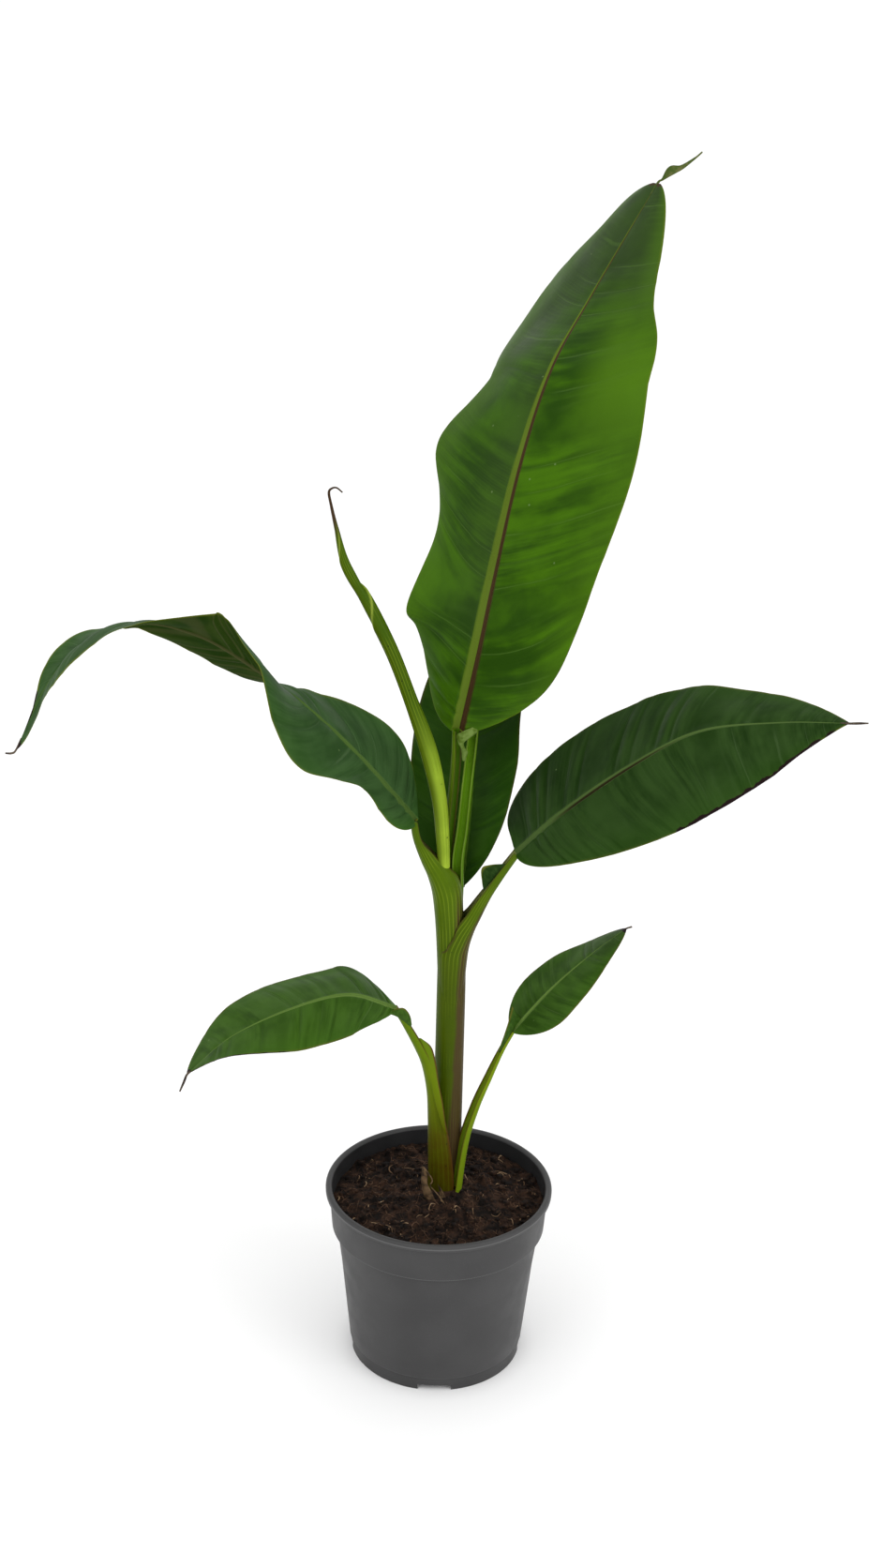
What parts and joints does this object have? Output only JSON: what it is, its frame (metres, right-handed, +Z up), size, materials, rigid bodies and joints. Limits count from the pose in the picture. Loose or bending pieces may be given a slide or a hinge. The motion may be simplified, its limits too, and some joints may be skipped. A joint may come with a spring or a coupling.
{
  "type": "potted banana plant",
  "caption": "Young potted banana plant: short sheathed stem, broad arching paddle leaves, a rolled spear leaf, and small low leaves in a round nursery pot.",
  "frame": {"origin": "middle of the flat underside of the pot, at the level the pot stands on", "axes": "+Z up along the pot's axis; -Y towards the side seen first, where the small low leaf reaches left and the large dark leaf right; +X to the right"},
  "size_m": [0.5743, 0.2918, 0.8785],
  "materials": {
    "pot": "dark grey moulded plastic, slight sheen",
    "soil": "dark moist peat with fibres, matte",
    "stem": "olive green and purple brown sheath, soft sheen",
    "stalk": "olive green, soft sheen",
    "leaf": "dark green blade, soft sheen",
    "young_leaf": "bright yellow green blade, soft sheen"
  },
  "bodies": {
    "root": {"pot": "pot", "soil": "soil", "pseudostem": "stem", "low_left_stalk": "stalk", "low_right_stalk": "stalk", "right_stalk": "stalk", "left_stalk": "stalk", "tall_stalk": "stalk", "spear_leaf": "young_leaf", "right_blade": "leaf", "tall_blade": "young_leaf", "back_blade": "leaf", "low_left_blade": "leaf", "low_right_blade": "leaf", "left_blade_inner": "leaf", "left_blade_outer": "leaf"}
  },
  "joints": []
}
